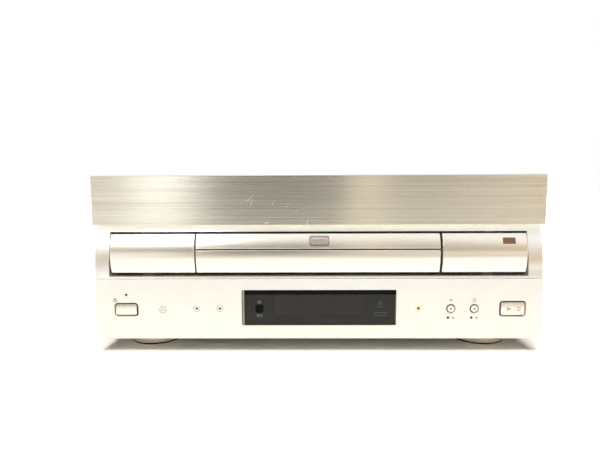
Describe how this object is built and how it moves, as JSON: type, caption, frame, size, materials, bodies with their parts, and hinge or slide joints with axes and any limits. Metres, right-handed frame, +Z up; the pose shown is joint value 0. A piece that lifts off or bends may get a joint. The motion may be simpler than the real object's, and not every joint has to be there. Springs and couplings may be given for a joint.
{
  "type": "disc player",
  "caption": "Full-size disc player with two nested motor-driven trays, a curved front, display window, buttons, clamp, pickup and four round feet.",
  "frame": {"origin": "middle of the underside, on the surface that the foot pads stand on", "axes": "+X to the right of somebody facing the front, -Y is the front, +Z is up"},
  "size_m": [0.42, 0.408, 0.168],
  "materials": {
    "brushed_panel": "horizontal brushed, clear anodised",
    "silver_moulding": "champagne silver paint",
    "silver_panel": "champagne silver paint",
    "pearl_door": "pearl champagne lacquer",
    "smoked_window": "smoked acrylic",
    "tube_glass": "display glass",
    "silver_button": "satin plated",
    "lamp_lens": "tinted lens",
    "circuit_board": "solder mask",
    "black_component": "moulded package",
    "tray_plastic": "fine grain",
    "badge_plate": "satin",
    "zinc_steel": "zinc plated",
    "guide_plastic": "acetal",
    "gear_plastic": "acetal",
    "belt_rubber": "matte",
    "motor_can": "plated",
    "pickup_casting": "die cast",
    "damper_rubber": "matte",
    "polished_shaft": "ground",
    "lens_glass": "coated",
    "turntable_plastic": "satin",
    "chassis_steel": "zinc plated",
    "cover_paint": "fine textured champagne paint",
    "rear_paint": "plain painted",
    "screw_steel": "plated",
    "foot_finish": "champagne satin",
    "pad_rubber": "matte",
    "jack_metal": "gold plated",
    "socket_plastic": "moulded",
    "heat_sink": "black anodised",
    "capacitor_sleeve": "shrink sleeve",
    "transformer_core": "varnished laminations"
  },
  "bodies": {
    "root": {"upper_front_panel": "brushed_panel", "fascia_moulding": "silver_moulding", "lower_front_panel": "silver_panel", "display_window": "smoked_window", "display_tube": "tube_glass", "display_board": "circuit_board", "remote_sensor": "black_component", "indicator_lights": "lamp_lens", "tact_switches": "black_component", "left_switch_board": "circuit_board", "right_switch_board": "circuit_board", "mechanism_chassis": "zinc_steel", "right_tray_guide": "guide_plastic", "left_tray_guide": "guide_plastic", "loading_belt": "belt_rubber", "loading_motor": "motor_can", "pickup_base": "pickup_casting", "rubber_dampers": "damper_rubber", "pickup_shafts": "polished_shaft", "sled_motor": "motor_can", "spindle_motor": "motor_can", "clamp_bridge": "zinc_steel", "clamp_pin": "polished_shaft", "base_chassis": "chassis_steel", "top_cover": "cover_paint", "rear_panel": "rear_paint", "cover_screws": "screw_steel", "rear_screws": "screw_steel", "feet": "foot_finish", "foot_pads": "pad_rubber", "foot_screws": "screw_steel", "phono_jacks": "jack_metal", "signal_jacks": "socket_plastic", "mains_inlet": "socket_plastic", "main_board": "circuit_board", "main_board_chips": "black_component", "power_board": "circuit_board", "power_capacitors": "capacitor_sleeve", "heat_sink": "heat_sink", "power_transformer": "transformer_core"},
    "large_tray": {"large_tray": "tray_plastic", "left_door_face": "pearl_door", "right_door_face": "pearl_door", "lower_door_face": "pearl_door"},
    "small_tray": {"small_tray": "tray_plastic", "small_tray_face": "pearl_door", "badge_plate": "badge_plate"},
    "power_button": {"power_button": "silver_button"},
    "play_button": {"play_button": "silver_button"},
    "small_tray_button": {"small_tray_button": "silver_button"},
    "large_tray_button": {"large_tray_button": "silver_button"},
    "drive_gear": {"drive_gear": "gear_plastic"},
    "motor_pulley": {"motor_pulley": "gear_plastic"},
    "turntable": {"turntable": "turntable_plastic"},
    "pickup": {"pickup_carriage": "pickup_casting", "objective_lens": "lens_glass"},
    "sled_screw": {"sled_screw": "polished_shaft"},
    "clamp_arm": {"clamp_arm": "zinc_steel"},
    "clamper": {"clamper": "turntable_plastic"}
  },
  "joints": [
    {"name": "large_tray_slide", "type": "slide", "parent": "root", "child": "large_tray", "axis": [0, -1, 0], "range_m": [0, 0.325]},
    {"name": "small_tray_slide", "type": "slide", "parent": "large_tray", "child": "small_tray", "axis": [0, -1, 0], "range_m": [0, 0.24]},
    {"name": "power_button_press", "type": "slide", "parent": "root", "child": "power_button", "axis": [0, 1, 0], "range_m": [0, 0.0012], "stiffness_N_per_m": 1200, "springref_m": -0.0005},
    {"name": "play_button_press", "type": "slide", "parent": "root", "child": "play_button", "axis": [0, 1, 0], "range_m": [0, 0.0012], "stiffness_N_per_m": 1200, "springref_m": -0.0005},
    {"name": "small_tray_button_press", "type": "slide", "parent": "root", "child": "small_tray_button", "axis": [0, 1, 0], "range_m": [0, 0.0012], "stiffness_N_per_m": 1200, "springref_m": -0.0005},
    {"name": "large_tray_button_press", "type": "slide", "parent": "root", "child": "large_tray_button", "axis": [0, 1, 0], "range_m": [0, 0.0012], "stiffness_N_per_m": 1200, "springref_m": -0.0005},
    {"name": "drive_gear_spin", "type": "hinge", "parent": "root", "child": "drive_gear", "pos_m": [-0.14372, -0.1532, 0.085], "axis": [0, 0, 1], "range_deg": [-10, 1050]},
    {"name": "motor_pulley_spin", "type": "hinge", "parent": "root", "child": "motor_pulley", "pos_m": [-0.095, -0.1532, 0.067], "axis": [0, 0, 1], "range_deg": [-20, 3330]},
    {"name": "turntable_spin", "type": "hinge", "parent": "root", "child": "turntable", "pos_m": [0, -0.0252, 0.086], "axis": [0, 0, 1], "continuous": true},
    {"name": "pickup_slide", "type": "slide", "parent": "root", "child": "pickup", "axis": [0, 1, 0], "range_m": [0, 0.1]},
    {"name": "sled_screw_spin", "type": "hinge", "parent": "root", "child": "sled_screw", "pos_m": [0.04, -0.0252, 0.072], "axis": [0, 1, 0], "range_deg": [-20, 6020]},
    {"name": "clamp_arm_tilt", "type": "hinge", "parent": "root", "child": "clamp_arm", "pos_m": [0, 0.0368, 0.121], "axis": [1, 0, 0], "range_deg": [0, 5], "stiffness_Nm_per_rad": 2, "springref_deg": -5.73},
    {"name": "clamper_spin", "type": "hinge", "parent": "clamp_arm", "child": "clamper", "pos_m": [0, -0.0252, 0.1138], "axis": [0, 0, 1], "continuous": true}
  ],
  "couplings": [
    {"joint": "drive_gear_spin", "follows": "large_tray_slide", "rad_per_m": 55.556},
    {"joint": "motor_pulley_spin", "follows": "large_tray_slide", "rad_per_m": 177.78},
    {"joint": "sled_screw_spin", "follows": "pickup_slide", "rad_per_m": 1047.2}
  ]
}
